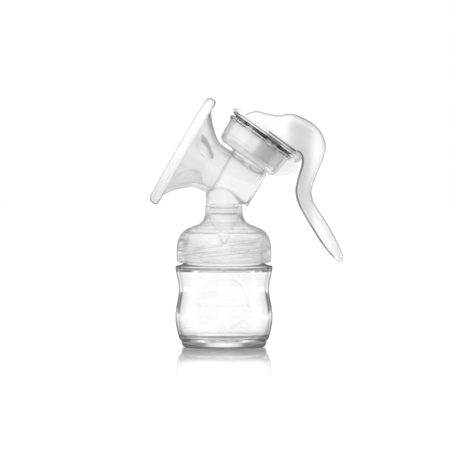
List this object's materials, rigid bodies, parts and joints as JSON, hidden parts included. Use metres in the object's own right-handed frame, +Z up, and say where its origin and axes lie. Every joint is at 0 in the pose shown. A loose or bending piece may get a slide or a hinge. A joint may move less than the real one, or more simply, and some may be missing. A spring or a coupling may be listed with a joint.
{
  "type": "breast pump",
  "caption": "Hand-operated breast pump: clear bottle, screw-on clear body with a cushioned funnel, and a curved squeeze lever over a round diaphragm cup.",
  "frame": {"origin": "centre of the bottle's flat foot, on the surface it stands on", "axes": "+Z up along the bottle's axis, -X towards the funnel, +X towards the squeeze lever, Y across the pump's plane of symmetry"},
  "size_m": [0.1337, 0.0834, 0.1724],
  "materials": {
    "clear_plastic": "clear, gloss, slightly frosted polypropylene",
    "bottle_plastic": "clear gloss polypropylene",
    "lever_plastic": "translucent white, satin gloss",
    "white_plastic": "white, satin gloss",
    "clear_silicone": "soft translucent silicone",
    "white_silicone": "soft milky silicone"
  },
  "bodies": {
    "bottle": {"bottle": "bottle_plastic"},
    "valve": {"duckbill_valve": "white_silicone"},
    "pump_body": {"screw_cap": "clear_plastic", "neck_tube": "clear_plastic", "throat_tube": "clear_plastic", "throat_end_disc": "clear_plastic", "funnel": "clear_plastic", "saddle": "clear_plastic", "diaphragm_cup": "clear_plastic", "hinge_ear_left": "clear_plastic", "hinge_ear_right": "clear_plastic", "hinge_pin": "clear_plastic", "massage_cushion": "clear_silicone", "diaphragm": "clear_silicone"},
    "stem": {"diaphragm_stem": "white_plastic"},
    "lever": {"lever_shell": "lever_plastic", "lever_brim": "lever_plastic", "hinge_hook_left": "lever_plastic", "hinge_hook_right": "lever_plastic"}
  },
  "joints": [
    {"name": "cap_rise", "type": "slide", "parent": "bottle", "child": "valve", "axis": [0, 0, 1], "range_m": [0, 0.0136]},
    {"name": "cap_turn", "type": "hinge", "parent": "valve", "child": "pump_body", "pos_m": [0, 0, 0], "axis": [0, 0, 1], "range_deg": [0, 270]},
    {"name": "lever_squeeze", "type": "hinge", "parent": "pump_body", "child": "lever", "pos_m": [0.04965, 0, 0.13151], "axis": [0, 1, 0], "range_deg": [0, 24], "stiffness_Nm_per_rad": 0.8, "springref_deg": -5.73},
    {"name": "stem_lift", "type": "slide", "parent": "pump_body", "child": "stem", "axis": [0.5807, 0, 0.8141], "range_m": [0, 0.0131], "deforming": ["diaphragm"]}
  ],
  "couplings": [
    {"joint": "cap_rise", "follows": "cap_turn", "m_per_rad": 0.0028648},
    {"joint": "stem_lift", "follows": "lever_squeeze", "m_per_rad": 0.0309}
  ]
}
